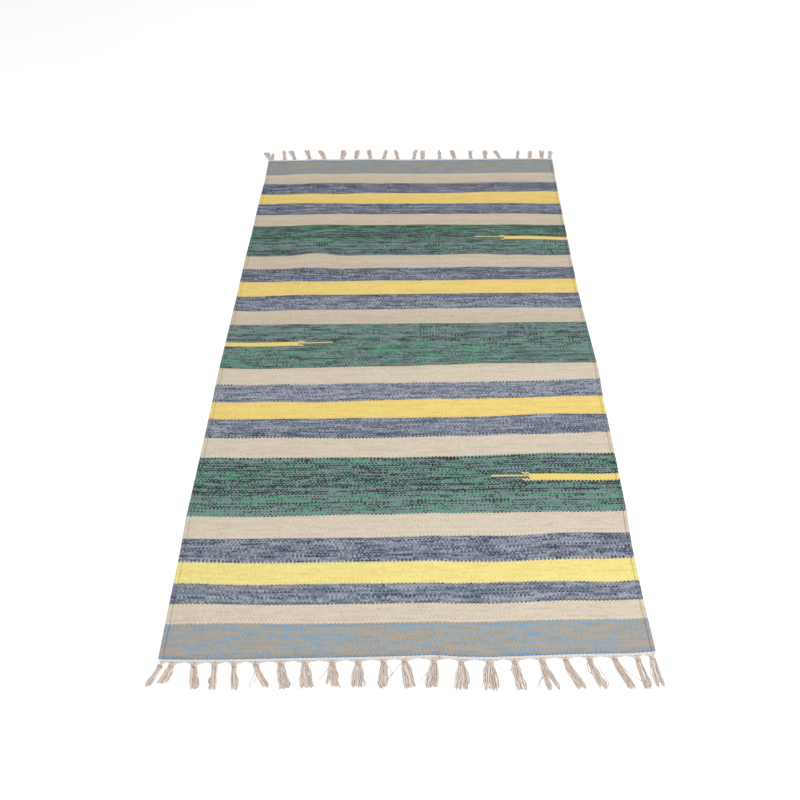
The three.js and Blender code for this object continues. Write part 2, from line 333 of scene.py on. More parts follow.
def tube_faces(ring_count, sides, first=0):
    """Faces of a closed tube whose two end points follow its rings."""
    faces = []
    for ring in range(ring_count - 1):
        for side in range(sides):
            a = first + ring * sides + side
            b = first + ring * sides + (side + 1) % sides
            faces.append((a, b, b + sides, a + sides))
    start = first + ring_count * sides
    last = first + (ring_count - 1) * sides
    for side in range(sides):
        faces.append((start, first + (side + 1) % sides, first + side))
        faces.append((start + 1, last + side, last + (side + 1) % sides))
    return faces


def corded_edge(side):
    """Build one corded edge from the near end to the far end."""
    sign = SIDEWAYS[side]
    ring_count = round(LENGTH / PICK) + 1
    share = np.linspace(0, 1, ring_count)
    edge = side_x(side, (share - 0.5) * LENGTH)
    loop = np.where(np.arange(ring_count) % 2 == 0, LOOP_RISE, 0.0)
    turn = -2 * np.pi * np.arange(CORD_SIDES) / CORD_SIDES
    middle = edge - sign * (CORD_HALF - LOOP_RISE)
    half = CORD_HALF + loop - LOOP_RISE
    across = middle[:, None] + half[:, None] * np.cos(turn)
    along = place_on(across, share[:, None])
    rise = (CORD_HIGH - CORD_LOW) / 2
    height = CORD_LOW + rise + (rise - LOOP_RISE + loop)[:, None] * np.sin(turn)
    points = np.stack([across, along, height], -1)
    inset = sign * (edge[:, None] - across) / (2 * CORD_HALF)
    near_warp = inset * EDGE_WARPS
    warp = WARPS - near_warp if side == "right" else near_warp
    # Shade is painted into the groove on the cord's inner part
    groove = np.clip(inset * SHADE_SLOPE - SHADE_OFF, 0, 1) * GROOVE_PAINTED_SHADE[side]
    values = np.stack([warp, weft_place(across, share[:, None]), groove], -1)
    caps = points[[0, -1]].mean(1)
    cap_values = values[[0, -1]].mean(1)
    flat_points = np.concatenate([points.reshape(-1, 3), caps])
    flat_values = np.concatenate([values.reshape(-1, 3), cap_values])
    faces = tube_faces(ring_count, CORD_SIDES)
    made = new_mesh("edge_cord_" + side, flat_points * MM, faces, {"weave": flat_values})
    print(made.name, "rings:", ring_count)
    return made


edge_cords = [corded_edge(side) for side in SIDEWAYS]

# %% [markdown]
# ## Yarn
# The headings and the fringe are cotton yarn, and yarn is a tube that follows a path. Blender's curves
# can be given a round bevel, but a curve keeps no count of how far along the yarn a point is, and the
# twist of the plies needs just that. So one helper sweeps a ring of points along any path, turns it as
# little as it can from step to step, closes both ends, and stores on every point its distance along
# the yarn, its place round it and the yarn's own number, which the material turns into plies and tone.

# %% Sweep yarns along paths
YARN_SIDES = 6
# A yarn's number times this is added to its distance in mm, which keeps both in one value
YARN_STEP = 2000
# How far a yarn's end point stands out from its last ring, in radii
TIP_BULGE = 0.6
# A path that starts steeper than this can't take its first sideways direction from the vertical
STEEP = 0.9


def smooth_path(points, count):
    """Points evenly spread over a Catmull-Rom curve through a few given points."""
    points = np.asarray(points, float)
    padded = np.concatenate([[2 * points[0] - points[1]], points, [2 * points[-1] - points[-2]]])
    where = np.linspace(0, len(points) - 1, count)
    first = np.minimum(where.astype(int), len(points) - 2)
    t = (where - first)[:, None]
    a, b, c, d = (padded[first + step] for step in range(4))
    straight = 2 * b + (c - a) * t
    return 0.5 * (straight + (2 * a - 5 * b + 4 * c - d) * t ** 2 + (3 * b - a - 3 * c + d) * t ** 3)


def sweep(path, radii, sides, number):
    """Rings of points round a path, in mm, with the yarn values of each point."""
    path = np.asarray(path, float)
    radii = np.broadcast_to(radii, len(path))
    tangents = np.gradient(path, axis=0)
    tangents /= np.linalg.norm(tangents, axis=1)[:, None]
    lengths = np.concatenate([[0], np.cumsum(np.linalg.norm(np.diff(path, axis=0), axis=1))])
    start = np.array((0, 0, 1.0)) if abs(tangents[0][2]) < STEEP else np.array((0, 1.0, 0))
    normals = np.empty_like(path)
    for step, tangent in enumerate(tangents):
        start = start - tangent * start.dot(tangent)
        start /= np.linalg.norm(start)
        normals[step] = start
    sideways = np.cross(tangents, normals)
    turn = 2 * np.pi * np.arange(sides) / sides
    ring = np.cos(turn)[None, :, None] * normals[:, None] + np.sin(turn)[None, :, None] * sideways[:, None]
    points = path[:, None] + ring * radii[:, None, None]
    values = np.empty_like(points)
    values[..., 0] = number * YARN_STEP + lengths[:, None]
    values[..., 1] = np.cos(turn)
    values[..., 2] = np.sin(turn)
    tips = path[[0, -1]] + tangents[[0, -1]] * radii[[0, -1], None] * np.array([[-TIP_BULGE], [TIP_BULGE]])
    tip_values = values[[0, -1]].mean(1)
    return np.concatenate([points.reshape(-1, 3), tips]), np.concatenate([values.reshape(-1, 3), tip_values])


def yarn_mesh(name, yarns):
    """Join many yarns, each a path, its radii and its number of sides, into one closed-tube mesh."""
    points, values, faces, first = [], [], [], 0
    for number, (path, radii, sides) in enumerate(yarns):
        yarn_points, yarn_values = sweep(path, radii, sides, number)
        faces += tube_faces(len(path), sides, first)
        points.append(yarn_points)
        values.append(yarn_values)
        first += len(yarn_points)
    return new_mesh(name, np.concatenate(points) * MM, faces, {"yarn": np.concatenate(values)})


# %% [markdown]
# ## The twined headings
# Before the fringe, a row of twining locks the wefts: two white yarns twist round each other and trap
# two warps in every half turn, so the row looks like a fine rope with a lump every eight millimetres.
# The rope is made as it is on the rug, from two yarns that wind round one line half a turn apart.

# %% Twist the headings
HEADING_WIDTH = 6
TWINE_RADIUS = 1.7
TWINE_SWING = 1.25
TWINE_LIFT = 0.62
TWINE_MIDDLE = 2.46
TWINE_TURN = 4 * WARP_PITCH
STEPS_A_TURN = 10
TIP_INSET = 0.5
# The rope rises and falls by this much, as a wave with this reach
TWINE_WAVE = 0.15
TWINE_WAVE_REACH = 37


def twine_path(end, phase):
    """The path of one yarn of a heading, from the left side to the right side."""
    across = np.arange(-WIDTH / 2 + TIP_INSET, WIDTH / 2 - TIP_INSET, TWINE_TURN / STEPS_A_TURN)
    turn = 2 * np.pi * across / TWINE_TURN + phase
    out = end_out(end, across) + GAP + HEADING_WIDTH / 2 + TWINE_SWING * np.cos(turn)
    height = TWINE_MIDDLE + TWINE_LIFT * np.sin(turn) + TWINE_WAVE * np.sin(across / TWINE_WAVE_REACH)
    return np.stack([across, OUTWARD[end] * out, height], -1)


headings = {}
for end in OUTWARD:
    plies = [(twine_path(end, phase), TWINE_RADIUS, YARN_SIDES) for phase in (0, math.pi)]
    headings[end] = yarn_mesh("twined_heading_" + end, plies)
    print(headings[end].name, "faces:", len(headings[end].data.polygons))

# %% [markdown]
# ## The tassels
# Under each heading the bare warps run sideways to the nearest knot, in a shallow scallop, and hang
# from the knot as a small fan of cords. Each tassel is dressed on its own, so that one can be swapped
# or left off. The tables give, for each, where its knot and its tip are, how far it reaches and how
# wide it fans, and how many cords its lower layer has. The knot is the same yarns wound round the
# bundle, the fan has a lower and an upper layer of cords, and each cord wanders a little and ends at
# its own length, from a seeded random source so that every run gives the same fringe.

# %% Where the tassels are
# (knot across, tip across, reach beyond the cloth, spread of the tips, cords in the lower layer)
TASSELS = {
    "near": (
        (-447, -463, 46, 10, 5), (-427, -437, 40, 17, 6), (-386, -378, 50, 18, 6), (-349, -347, 51, 14, 6),
        (-314, -306, 51, 15, 6), (-275, -252, 50, 12, 5), (-230, -218, 52, 23, 7), (-187, -180, 52, 26, 8),
        (-137, -129, 50, 17, 6), (-91, -91, 53, 26, 8), (-45, -46, 54, 18, 7), (-7, 3, 55, 23, 8),
        (46, 40, 55, 26, 8), (95, 94, 56, 26, 8), (146, 147, 57, 28, 8), (192, 201, 58, 23, 7),
        (241, 249, 59, 13, 5), (285, 308, 60, 20, 7), (328, 346, 60, 19, 6), (374, 397, 61, 19, 6),
        (416, 425, 61, 16, 6), (443, 447, 60, 20, 6),
    ),
    "far": (
        (-447, -463, 48, 20, 7), (-400, -408, 57, 12, 5), (-370, -386, 57, 19, 6), (-322, -336, 58, 15, 6),
        (-275, -291, 55, 20, 7), (-217, -215, 57, 19, 7), (-174, -171, 57, 18, 6), (-129, -135, 56, 16, 6),
        (-86, -80, 56, 13, 5), (-42, -50, 58, 13, 5), (10, 15, 58, 13, 5), (37, 38, 56, 16, 6),
        (92, 92, 54, 12, 5), (139, 132, 54, 17, 6), (191, 192, 53, 13, 5), (237, 238, 53, 16, 6),
        (282, 271, 50, 16, 6), (340, 345, 48, 13, 5), (379, 383, 48, 16, 6), (419, 421, 50, 16, 6),
        (444, 449, 49, 15, 6),
    ),
}
GATHER_REACH = 13
KNOT_OUT = 5.9
NECK_OUT = 8.6
CORD_RADIUS = 1.3


def head_start(end, knot):
    """How far out a tassel's head starts, clear of the heading over its whole width, in mm."""
    reaches = [float(end_out(end, knot + shift)) for shift in (-GATHER_REACH, 0, GATHER_REACH)]
    return max(reaches) + GAP + HEADING_WIDTH + GAP


print("tassels:", {end: len(rows) for end, rows in TASSELS.items()})

# %% Gathered warps
GATHER_RADIUS = 1.0
GATHER_STEPS = 7
GATHER_SIDES = 5
# A corner tassel starts from few warps, so its yarns are thicker there
FEW_WARPS = 5
FEW_THICKER = 1.6
# How much the yarns differ in height and in where they bend, and how far all keep above the floor
GATHER_LIFT = 0.3
GATHER_UNEVEN = 0.5
FLOOR_CLEAR = 0.1


def gathered_warps(end, knot, room_left, room_right, start, wander):
    """Yarns that leave the heading at every warp and run together into the knot.

    Each step of a yarn is its place across, out from the rug's middle, and up. From under the heading
    it bends sideways, rises among the others and ends inside the knot.
    """
    yarns = []
    outward = OUTWARD[end]
    first = math.ceil((knot - room_left) / WARP_PITCH)
    last = math.floor((knot + room_right) / WARP_PITCH)
    radius = GATHER_RADIUS * (FEW_THICKER if last - first < FEW_WARPS else 1)
    lowest = radius + FLOOR_CLEAR
    for warp in range(first, last + 1):
        from_x = warp * WARP_PITCH
        shift = from_x - knot
        edge = float(end_out(end, from_x)) + GAP + HEADING_WIDTH
        lift = GATHER_LIFT * wander.random()
        bend = GATHER_UNEVEN * wander.random()
        steps = (
            (from_x, edge - 1.8, max(1.5, lowest)),
            (knot + shift * 0.8, edge - 0.5 + bend, max(1.25, lowest) + lift),
            (knot + shift * 0.45, edge + 0.6, 1.5 + lift),
            (knot + shift * 0.2, start + 3.4, 2.4),
            (knot + shift * 0.12, start + KNOT_OUT + 1.0, 2.8),
        )
        path = smooth_path([(x, outward * y, z) for x, y, z in steps], GATHER_STEPS)
        yarns.append((path, radius, GATHER_SIDES))
    return yarns


# %% The knot
KNOT_TURNS = (-1.9, 0.0, 1.9)
KNOT_HALF = 4.1
KNOT_RISE = 1.95
KNOT_MIDDLE = 3.15
KNOT_STEPS = 16
# Each turn is tilted by this, times the least share and up to so much more
KNOT_TILT = 1.3
TILT_LEAST = 0.6
TILT_MORE = 0.8
# The outer turns are this share of the middle one's size, and their cord is thinner by this much
OUTER_TURN = 0.88
KNOT_THINNER = 0.2


def knot_turns(end, knot, start, wander):
    """Turns of cord wound round the bundle, each a little tilted."""
    yarns = []
    turn = np.linspace(0, 2 * np.pi, KNOT_STEPS + 1)
    for place in KNOT_TURNS:
        bulge = 1.0 if place == 0 else OUTER_TURN
        tilt = KNOT_TILT * (TILT_LEAST + TILT_MORE * wander.random())
        x = knot + bulge * KNOT_HALF * np.cos(turn)
        y = start + KNOT_OUT + place + tilt * np.cos(turn)
        z = KNOT_MIDDLE + bulge * KNOT_RISE * np.sin(turn)
        yarns.append((np.stack([x, OUTWARD[end] * y, z], -1), CORD_RADIUS - KNOT_THINNER, YARN_SIDES))
    return yarns


# %% The hanging cords
CORD_STEPS = 10
LOWER_HEIGHT = 1.35
UPPER_HEIGHT = 3.1
NECK_HALF = 4.0
# A cord starts inside the knot, this far back from the neck and this high
START_BACK = 3.4
START_HEIGHT = 2.4
# The upper layer has this many cords fewer, and spreads over this share of the width
UPPER_FEWER = 3
UPPER_SPREAD = 0.8
# How far the tips of neighbouring cords are drawn together, as a share of the way
CLUMP_PULL = 0.3
# A tassel with more cords than this has three clumps, the others two
TWO_CLUMPS = 6
# How unevenly the cords stand in the knot, and how far they wander sideways in mm
CORD_UNEVEN = 0.03
CORD_WANDER = 0.9
# The shortest cord, and how much longer others are, as shares of the tassel's length
SHORTEST = 0.88
LONGER = 0.14
# (share of the way down, share of the full width, height above rest in mm)
CORD_FAN = ((0.18, 0.68, 0.7), (0.4, 0.8, 0.1), (0.62, 0.88, 0), (0.82, 0.95, 0), (1, 1, 0))
# A cord is thinner in the knot and frays out thin: shares of its way down and of its radius
THICK_AT = (0, 0.15, 0.8, 1)
THICK_SHARE = (0.8, 0.95, 1, 0.72)


def hanging_cords(row, start, outward, wander):
    """The cords that hang from a knot: a layer on the floor and a sparser one on top of it."""
    knot, tip, reach, spread, count = row
    yarns = []
    length = reach - HEADING_WIDTH - NECK_OUT
    clumps = wander.uniform(-0.5, 0.5, 2 + (count > TWO_CLUMPS)) * spread
    share_down = np.linspace(0, 1, CORD_STEPS)
    thick = CORD_RADIUS * np.interp(share_down, THICK_AT, THICK_SHARE)
    layers = ((count, LOWER_HEIGHT, 1.0), (count - UPPER_FEWER, UPPER_HEIGHT, UPPER_SPREAD))
    for cords, rest_height, fullness in layers:
        for cord in range(cords):
            place = (cord + 0.5) / cords - 0.5 + wander.normal(0, CORD_UNEVEN)
            fan = place * spread * fullness
            clump = clumps[np.argmin(abs(clumps - fan))]
            end_fan = fan + CLUMP_PULL * (clump - fan)
            run = length * (SHORTEST + LONGER * wander.random())
            steps = [(knot + place * 2 * NECK_HALF, start + NECK_OUT - START_BACK, START_HEIGHT)]
            for share, width, rise in CORD_FAN:
                shift = end_fan if share == 1 else width * fan
                across = knot + (tip - knot) * share + shift + wander.normal(0, CORD_WANDER)
                steps.append((across, start + NECK_OUT + share * run, rest_height + rise))
            path = smooth_path([(x, outward * y, z) for x, y, z in steps], CORD_STEPS)
            path[:, 2] = np.maximum(path[:, 2], CORD_RADIUS + FLOOR_CLEAR)
            yarns.append((path, thick, YARN_SIDES))
    return yarns


# %% Loose threads
THREAD_RADIUS = 0.62
# Rings for each point that is given
THREAD_RINGS = 4
# Threads that slipped out of a near tassel: its number, then (across, out from the cloth, height)
LOOSE_THREADS = (
    (2, (-430, 14, 4), (-438, 24, 1.2), (-444, 34, 0.8), (-446, 42, 0.7)),
    (6, (-275, 13, 4), (-276, 28, 1), (-280, 39, 0.7), (-280, 51, 0.7)),
    (6, (-273, 14, 4), (-272, 29, 1), (-274, 42, 0.7)),
    (9, (-139, 13, 4), (-151, 28, 1), (-158, 37, 0.7), (-160, 40, 0.7)),
    (11, (-42, 13, 4), (-34, 21, 1.4), (-30, 28, 0.8), (-34, 36, 1), (-39, 48, 1)),
    (12, (-10, 12, 4), (-21, 20, 1.2), (-27, 28, 0.7), (-32, 35, 0.7)),
    (13, (40, 22, 3), (29, 34, 1), (23, 39, 0.7), (23, 45, 0.7)),
    (14, (102, 22, 3), (106, 30, 1.2), (108, 39, 0.7), (108, 49, 0.7)),
    (15, (141, 20, 3), (138, 29, 1.2), (134, 41, 0.7), (129, 56, 0.7)),
    (15, (149, 13, 4), (164, 22, 1), (174, 29, 0.7), (185, 26, 0.7), (189, 18, 1)),
    (17, (243, 20, 3), (239, 37, 1), (231, 49, 0.7), (227, 58, 0.7)),
    (17, (244, 20, 3), (241, 37, 1), (234, 49, 0.7), (231, 58, 0.7)),
    (19, (326, 13, 4), (322, 22, 1.2), (324, 32, 0.7), (328, 36, 0.7)),
    (19, (341, 22, 3), (351, 42, 1), (356, 52, 0.7), (352, 58, 0.7)),
    (20, (384, 24, 3), (393, 33, 1), (402, 41, 0.7), (415, 49, 0.7)),
    (22, (438, 14, 4), (435, 28, 1), (434, 43, 0.7)),
)
# Small bundles that left their tassel below its knot, in the same columns as the tassels
STRAY_BUNDLES = {
    ("far", 1): ((-440, -441, 46, 7, 4),),
    ("near", 2): ((-427, -428, 34, 4, 4),),
    ("near", 9): ((-139, -146, 47, 5, 4),),
    ("near", 17): ((244, 266, 58, 9, 5),),
}


def loose_threads(number):
    """The loose threads of one near tassel."""
    yarns = []
    for tassel, *steps in LOOSE_THREADS:
        if tassel == number:
            points = [(x, -(LENGTH / 2 + out), z) for x, out, z in steps]
            path = smooth_path(points, THREAD_RINGS * len(points))
            yarns.append((path, THREAD_RADIUS, GATHER_SIDES))
    return yarns


# %% Tie all the tassels
FIRST_SEED = 1000
tassels = {}
for end, rows_of_end in TASSELS.items():
    for index, row in enumerate(rows_of_end):
        wander = np.random.default_rng(FIRST_SEED + 100 * len(tassels) + index)
        knot = row[0]
        before = rows_of_end[index - 1][0] if index else -WIDTH / 2 - (knot + WIDTH / 2)
        after = rows_of_end[index + 1][0] if index + 1 < len(rows_of_end) else WIDTH - knot
        room_left = min((knot - before) / 2, knot + WIDTH / 2 - TIP_INSET)
        room_right = min((after - knot) / 2, WIDTH / 2 - TIP_INSET - knot)
        start = head_start(end, knot)
        yarns = gathered_warps(end, knot, room_left, room_right, start, wander)
        yarns += knot_turns(end, knot, start, wander)
        yarns += hanging_cords(row, start, OUTWARD[end], wander)
        for bundle in STRAY_BUNDLES.get((end, index + 1), ()):
            yarns += hanging_cords(bundle, start, OUTWARD[end], wander)
        if end == "near":
            yarns += loose_threads(index + 1)
        node_name = f"tassel_{end}_{index + 1:02d}"
        tassels[node_name] = yarn_mesh("knotted_" + node_name, yarns)
print("tassels tied:", len(tassels), "faces:", sum(len(made.data.polygons) for made in tassels.values()))

# %% Weft tails
# Two cut ends of weft stand out over the near heading: (across, out from the cloth, height)
WEFT_TAILS = {
    "blue": ((47, -6, 3), (50, -2.5, 4.6), (55, -1.2, 5.6), (60, -2.5, 4.8)),
    "tan": ((60, -5, 3), (57, -0.5, 5.2), (55, 3, 5.6), (57, 7.5, 5.2)),
}
TAIL_RADIUS = 0.85
TAIL_RINGS = 12
tails = {}
for colour, steps in WEFT_TAILS.items():
    points = [(x, -(LENGTH / 2 + out), z) for x, out, z in steps]
    tail = (smooth_path(points, TAIL_RINGS), TAIL_RADIUS, YARN_SIDES)
    tails[colour] = yarn_mesh("weft_tail_" + colour, [tail])
print("weft tails:", len(tails))

# %% [markdown]
# ## Weft yarn
# The wefts are matt cotton, and the stripes are not dye on a sheet but changes of yarn. The cream and
# yellow yarns are one colour. The blue and green ones are marled: plies of different colours are spun
# together, so each pick runs in streaks and flecks of them. So the material first works out, from the
# warp number and the distance along, which pick shows at a point. Then three ramps give the plies of
# the yarn that this pick belongs to, and noise that is stretched along the pick chooses between them.
# Because whole floats change colour, the stripes get their small toothed borders by themselves.

# %% Yarns and stripes
# The plies of each weft yarn: its main one, a second one, and its darkest one
# The cream and gold yarns of the far half of the rug are painted darker, as painted shade for the far end
WEFT_PLIES = {
    "cream": ("#c6bbaa", "#c0b4a2", "#b5a895"),
    "cream in painted shade": ("#bfb3a1", "#b9ac99", "#aea18c"),
    "lemon": ("#dccf85", "#d7c77c", "#cdbc70"),
    "gold": ("#dbc474", "#d6bd6c", "#cbb062"),
    "gold in painted shade": ("#dbc474", "#d6bd6c", "#cbaf62"),
    "navy": ("#9495a0", "#666f7d", "#303649"),
    "green": ("#49896a", "#727a81", "#22282d"),
    "sky": ("#6799bf", "#6799bf", "#5f89a8"),
    "band": ("#a1907a", "#7195ae", "#82888b"),
    "far band": ("#998c74", "#768d9b", "#787977"),
}
# The stripes from the near end: yarn and width in mm
STRIPES = (
    ("sky", 3), ("band", 58.4), ("cream", 35), ("navy", 38.8), ("lemon", 44.4), ("navy", 51.5),
    ("cream", 49.3), ("green", 137.5), ("cream", 51.9), ("navy", 52.2), ("gold", 49.2), ("navy", 48.2),
    ("cream", 51.7), ("green", 136.4), ("cream in painted shade", 49.9), ("navy", 53.1), ("gold in painted shade", 49.3),
    ("navy", 49.5), ("cream in painted shade", 50.6), ("green", 127.1), ("cream in painted shade", 49.5), ("navy", 48.9),
    ("gold in painted shade", 49.3), ("navy", 48.8), ("cream in painted shade", 47.4), ("far band", 67.1), ("sky", 2),
)
print("stripes:", len(STRIPES), "together in mm:", sum(width for _, width in STRIPES))

# %% [markdown]
# The three yellow darts are woven in by hand, with a second shuttle that turns back inside the green
# stripe. Each is a bar from one side, then a small block of three prongs, then a thin line that runs
# on inwards from the middle prong. A ramp along the dart says how many picks it covers below and above
# its middle pick, and whether it is open between the prongs.

# %% Darts
# Side, middle pick, where in mm from the side the bar, the block and the line end, and how many picks
# each of them covers below and above the middle pick
DARTS = (
    {"side": "right", "pick": 735, "ends": (177, 190, 263),
     "bar": (4.5, 3.5), "block": (6.5, 5.5), "line": (-0.5, 2.5)},
    {"side": "left", "pick": 482, "ends": (177, 192, 262),
     "bar": (3.5, 4.5), "block": (3.5, 6.5), "line": (-1.5, 3.5)},
    {"side": "right", "pick": 236, "ends": (190, 206, 272),
     "bar": (5.5, 4.5), "block": (5.5, 6.5), "line": (-0.5, 2.5)},
)
# What a ramp's whole way from 0 to 1 stands for, in mm inwards and in picks up
DART_SPAN = 300
DART_PICKS = 16
# How many picks high the outer prongs are
PRONG = 2
print("dart ends in mm from the side:", [dart["ends"] for dart in DARTS])

# %% Work out the pick at a point
STREAK_LENGTH = 52
# How far apart in the noise the streaks of two floats are, and the flecks of two warps and two picks
STREAK_APART = 7.37
FLECK_ACROSS = 0.57
FLECK_ALONG = 0.31
# How much a float sinks at its two sides
CROWN = 0.4
# Each row is one sum: its name, the operation, then names of earlier sums or plain numbers
WEAVE_SUMS = (
    ("column", "FLOOR", "warp"),
    ("odd", "FLOORED_MODULO", "column", 2.0),
    ("picks", "DIVIDE", "weft", PICK),
    ("shifted", "ADD", "picks", "odd"),
    ("floats", "MULTIPLY", "shifted", 0.5),
    ("float number", "FLOOR", "floats"),
    ("share across", "FRACT", "warp"),
    ("share along", "FRACT", "floats"),
    ("pick above", "MULTIPLY_ADD", "float number", 2.0, 1.0),
    ("pick", "SUBTRACT", "pick above", "odd"),
    ("pick mm", "MULTIPLY", "pick", PICK),
    ("stripe place", "DIVIDE", "pick mm", float(LENGTH)),
    ("across mm", "MULTIPLY_ADD", "column", WARP_PITCH, (1 - WARPS) / 2 * WARP_PITCH),
    ("streak run", "MULTIPLY", "warp", WARP_PITCH / STREAK_LENGTH),
    ("streak y", "MULTIPLY", "float number", STREAK_APART),
    ("fleck x", "MULTIPLY", "column", FLECK_ACROSS),
    ("fleck y", "MULTIPLY", "pick", FLECK_ALONG),
    ("ply turn", "ADD", "share across", "share along"),
    ("centred across", "MULTIPLY_ADD", "share across", 2.0, -1.0),
    ("centred along", "MULTIPLY_ADD", "share along", 2.0, -1.0),
    ("across squared", "MULTIPLY", "centred across", "centred across"),
    ("along squared", "MULTIPLY", "centred along", "centred along"),
    ("round across", "SUBTRACT", 1.0, "across squared"),
    ("round along", "SUBTRACT", 1.0, "along squared"),
    ("crown", "MULTIPLY_ADD", "round across", CROWN, 1 - CROWN),
    ("float height", "MULTIPLY", "crown", "round along"),
)


def add_sums(tree, sums, known):
    """Add one Math node for each sum and keep its result by name."""
    for name, operation, *terms in sums:
        sockets = {place: known.get(term, term) for place, term in enumerate(terms)}
        known[name] = add_node(tree, "ShaderNodeMath", sockets, operation=operation).outputs[0]
    return known


# Handwoven cotton: matt, hard-packed floats that catch a little light on their crowns
weft_yarn, tree, output = new_material("cotton_weft_yarn")
weave_value = add_node(tree, "ShaderNodeAttribute", attribute_name="weave")
split = add_node(tree, "ShaderNodeSeparateXYZ", {0: weave_value.outputs["Vector"]})
known = add_sums(tree, WEAVE_SUMS, dict(zip(("warp", "weft", "groove"), split.outputs)))
# Two picks share their streaks, the one over the even warps and the one over the odd ones, so that a
# streak is a line. Each pair starts at a place of its own, or the streaks would line up in columns.
START_REACH = 97.0
own_start = add_node(tree, "ShaderNodeTexWhiteNoise", {"W": known["float number"]}, noise_dimensions="1D")
known["own start"] = own_start.outputs["Value"]
add_sums(tree, (("streak x", "MULTIPLY_ADD", "own start", START_REACH, "streak run"),), known)
print("sums for the weave:", len(WEAVE_SUMS))

# %% Colour the plies
# A ramp alone would round the borders to a 255th of its length, so they are counted first. The count
# starts at a half, so that it always falls in the middle of a yarn's stop.
stripe_starts = np.cumsum([width for _, width in STRIPES])[:-1]
known["stripe"] = 0.5
for start in stripe_starts:
    border = (
        ("passed", "GREATER_THAN", "pick mm", float(start)),
        ("stripe", "ADD", "stripe", "passed"),
    )
    add_sums(tree, border, known)
add_sums(tree, (("stripe share", "DIVIDE", "stripe", float(len(STRIPES))),), known)
plies = []
for colours in zip(*(WEFT_PLIES[yarn] for yarn, _ in STRIPES)):
    ramp = add_node(tree, "ShaderNodeValToRGB", {"Fac": known["stripe share"]})
    stops = [(place / len(STRIPES), linear(colour)) for place, colour in enumerate(colours)]
    set_ramp(ramp, stops, "CONSTANT")
    plies.append(ramp.outputs["Color"])
print("borders:", len(stripe_starts), "plies:", len(plies))

# %% Tone along the rug
# (place along in mm, how much of the darkest ply, how much of the second one), 0.5 being even
TONE_DRIFT = (
    (0, 0.5, 0.38), (58, 0.5, 0.4), (94, 0.48, 0.5), (130, 0.46, 0.5), (230, 0.49, 0.5),
    (285, 0.5, 0.5), (345, 0.58, 0.47), (414, 0.56, 0.46), (480, 0.53, 0.5), (515, 0.5, 0.5),
    (570, 0.46, 0.5), (612, 0.47, 0.5), (670, 0.57, 0.45), (735, 0.55, 0.46), (760, 0.55, 0.51),
    (806, 0.58, 0.52), (855, 0.5, 0.5), (905, 0.51, 0.5), (960, 0.55, 0.5), (1005, 0.56, 0.5),
    (1060, 0.57, 0.51), (1115, 0.57, 0.48), (1140, 0.62, 0.4), (1186, 0.67, 0.35), (1235, 0.57, 0.5),
    (1280, 0.59, 0.5), (1335, 0.6, 0.5), (1380, 0.6, 0.5), (1430, 0.54, 0.45), (1500, 0.54, 0.42),
)
drift = add_node(tree, "ShaderNodeValToRGB", {"Fac": known["stripe place"]})
stops = [(along / LENGTH, (darkest, other, 0, 1)) for along, darkest, other in TONE_DRIFT]
set_ramp(drift, stops, "LINEAR")
drift_parts = add_node(tree, "ShaderNodeSeparateColor", {0: drift.outputs["Color"]})
print("places with a tone of their own:", len(TONE_DRIFT))

# %% Marl the plies
# What streaks and a pick's own tone add to the choice of a ply; flecks add the rest
STREAK_SHARE = 0.36
PICK_SHARE = 0.34
# Neighbouring picks differ in tone, as the plies of a marled yarn never meet twice alike
PICK_TURN = 0.293
PICK_WANDER = 0.3
# The plies wind round each other once in each float, so each comes to the front in turn. Where the
# winding starts changes by this many turns over the flecks.
PLY_SHARE = 0.07
PLY_STARTS = 13.7
# For the darkest ply and the second one: a shift of its own, and from where to where it takes over
PLY_CHOICES = ((0.0, 0.56, 0.64), (0.37, 0.42, 0.51))
# How far a shift of one moves the noise
SHIFT_REACH = 40
STREAKS = {"Detail": 1.5, "Roughness": 0.45}
FLECKS = {"Detail": 2.0, "Roughness": 0.7}
# The middle part of each noise, which is spread over the whole way from 0 to 1
STREAK_PART = {"From Min": 0.28, "From Max": 0.72}
FLECK_PART = {"From Min": 0.31, "From Max": 0.69}


def spread_noise(tree, across, along, shift, look, part):
    """Noise at a place across and along the weave, spread over the whole way from 0 to 1."""
    place = add_node(tree, "ShaderNodeCombineXYZ", {0: across, 1: along, 2: SHIFT_REACH * shift})
    noise = add_node(tree, "ShaderNodeTexNoise", {"Vector": place.outputs[0], "Scale": 1.0, **look})
    return add_node(tree, "ShaderNodeMapRange", {"Value": noise.outputs[0], **part}).outputs[0]


choices = []
for drift_part, (shift, low, high) in zip(drift_parts.outputs, PLY_CHOICES):
    sums = (
        ("pick wander", "MULTIPLY_ADD", "own start", PICK_WANDER, shift),
        ("pick turn", "MULTIPLY_ADD", "pick", PICK_TURN, "pick wander"),
        ("pick tone", "FRACT", "pick turn"),
        ("streaked", "MULTIPLY", "spread", STREAK_SHARE),
        ("picked", "MULTIPLY_ADD", "pick tone", PICK_SHARE, "streaked"),
        ("flecked", "MULTIPLY_ADD", "fleck", 1 - STREAK_SHARE - PICK_SHARE, "picked"),
        ("drifted", "ADD", "flecked", "drift"),
        ("own ply turn", "MULTIPLY_ADD", "fleck", PLY_STARTS, "ply turn"),
        ("ply angle", "MULTIPLY", "own ply turn", 2 * math.pi),
        ("ply in front", "SINE", "ply angle"),
        ("plied", "MULTIPLY_ADD", "ply in front", PLY_SHARE, "drifted"),
        ("choice", "SUBTRACT", "plied", 0.5),
    )
    terms = {
        "spread": spread_noise(tree, known["streak x"], known["streak y"], shift, STREAKS, STREAK_PART),
        "fleck": spread_noise(tree, known["fleck x"], known["fleck y"], shift, FLECKS, FLECK_PART),
        "drift": drift_part,
    }
    terms.update(known)
    choice = add_sums(tree, sums, terms)["choice"]
    chosen = add_node(tree, "ShaderNodeMapRange", {"Value": choice, "From Min": low, "From Max": high})
    choices.append(chosen.outputs[0])

